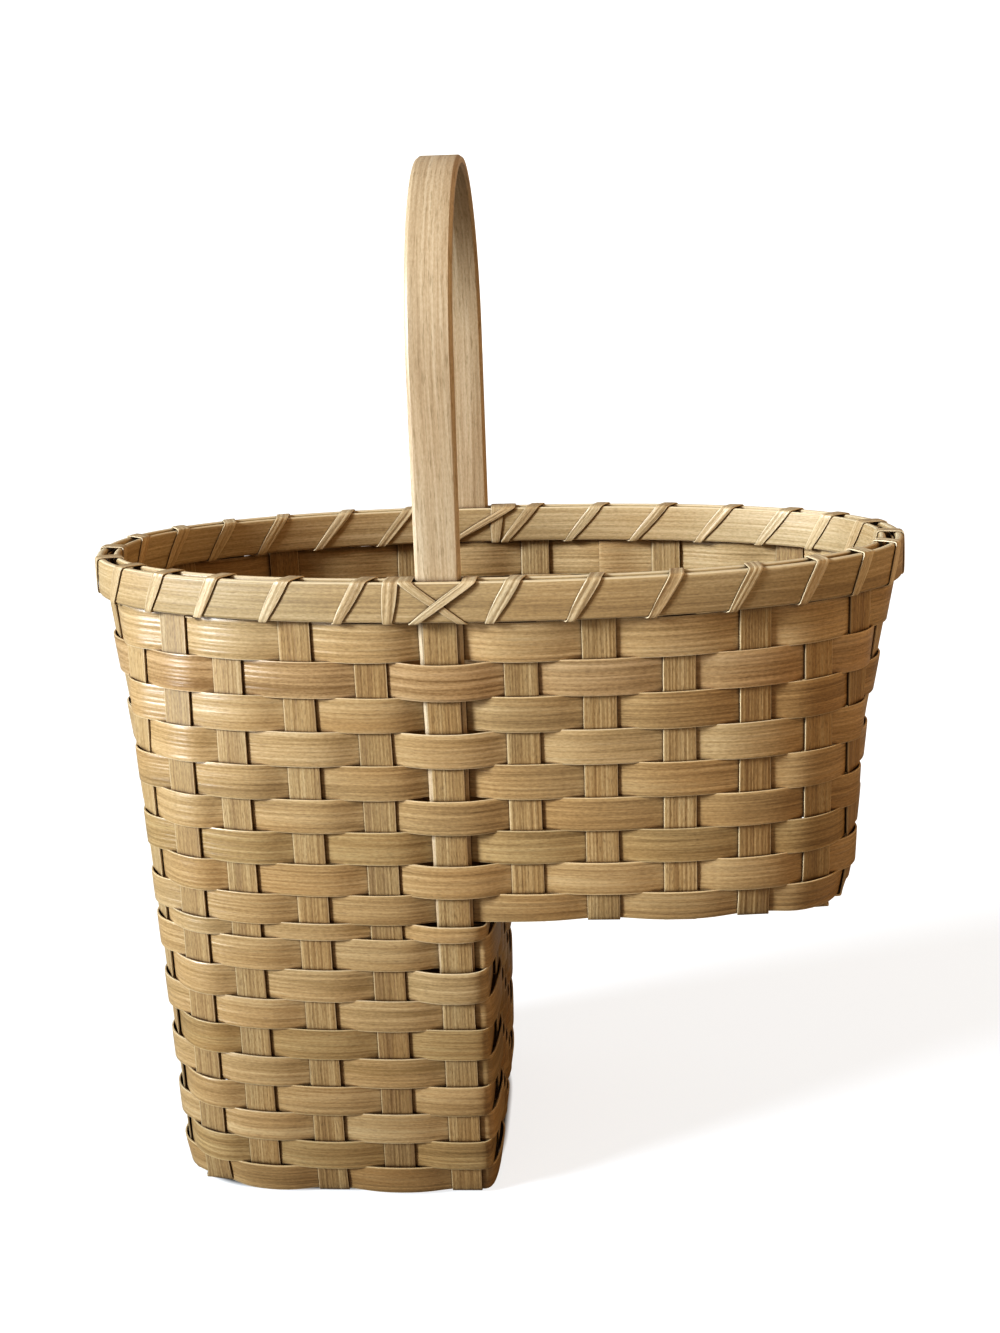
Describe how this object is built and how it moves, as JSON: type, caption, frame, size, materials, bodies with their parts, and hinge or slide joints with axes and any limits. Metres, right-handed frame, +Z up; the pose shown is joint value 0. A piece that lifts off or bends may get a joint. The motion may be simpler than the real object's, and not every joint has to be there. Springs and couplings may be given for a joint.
{
  "type": "stair basket",
  "caption": "Woven splint basket with two bins, one a stair lower, an oval laced rim and a bent strap handle.",
  "frame": {"origin": "on the ground under the middle of the oval rim", "axes": "+X along the rim towards the upper bin, +Y to the back, +Z up"},
  "size_m": [0.4876, 0.2498, 0.613],
  "materials": {
    "stake_ash": "dry split ash, satin",
    "splint_straw": "dry splint, satin",
    "hoop_ash": "shaved ash, satin",
    "handle_ash": "shaved ash, satin",
    "lashing_splint": "dry splint, satin"
  },
  "bodies": {
    "root": {"cross_stake_01": "stake_ash", "cross_stake_02": "stake_ash", "cross_stake_03": "stake_ash", "cross_stake_04": "stake_ash", "cross_stake_05": "stake_ash", "cross_stake_06": "stake_ash", "cross_stake_07": "stake_ash", "cross_stake_08": "stake_ash", "cross_stake_09": "stake_ash", "cross_stake_10": "stake_ash", "long_stake_1": "stake_ash", "long_stake_2": "stake_ash", "long_stake_3": "stake_ash", "long_stake_4": "stake_ash", "long_stake_5": "stake_ash", "splint_row_01": "splint_straw", "splint_row_02": "splint_straw", "splint_row_03": "splint_straw", "splint_row_04": "splint_straw", "splint_row_05": "splint_straw", "splint_row_06": "splint_straw", "splint_row_07": "splint_straw", "splint_row_08": "splint_straw", "splint_row_09": "splint_straw", "splint_row_10": "splint_straw", "splint_row_11": "splint_straw", "splint_row_12": "splint_straw", "splint_row_13": "splint_straw", "splint_row_14": "splint_straw", "splint_row_15": "splint_straw", "splint_row_16": "splint_straw", "splint_row_17": "splint_straw", "splint_row_18": "splint_straw", "splint_row_19": "splint_straw", "outer_rim_hoop": "hoop_ash", "inner_rim_hoop": "hoop_ash", "handle": "handle_ash", "rim_lashing": "lashing_splint"}
  },
  "joints": []
}
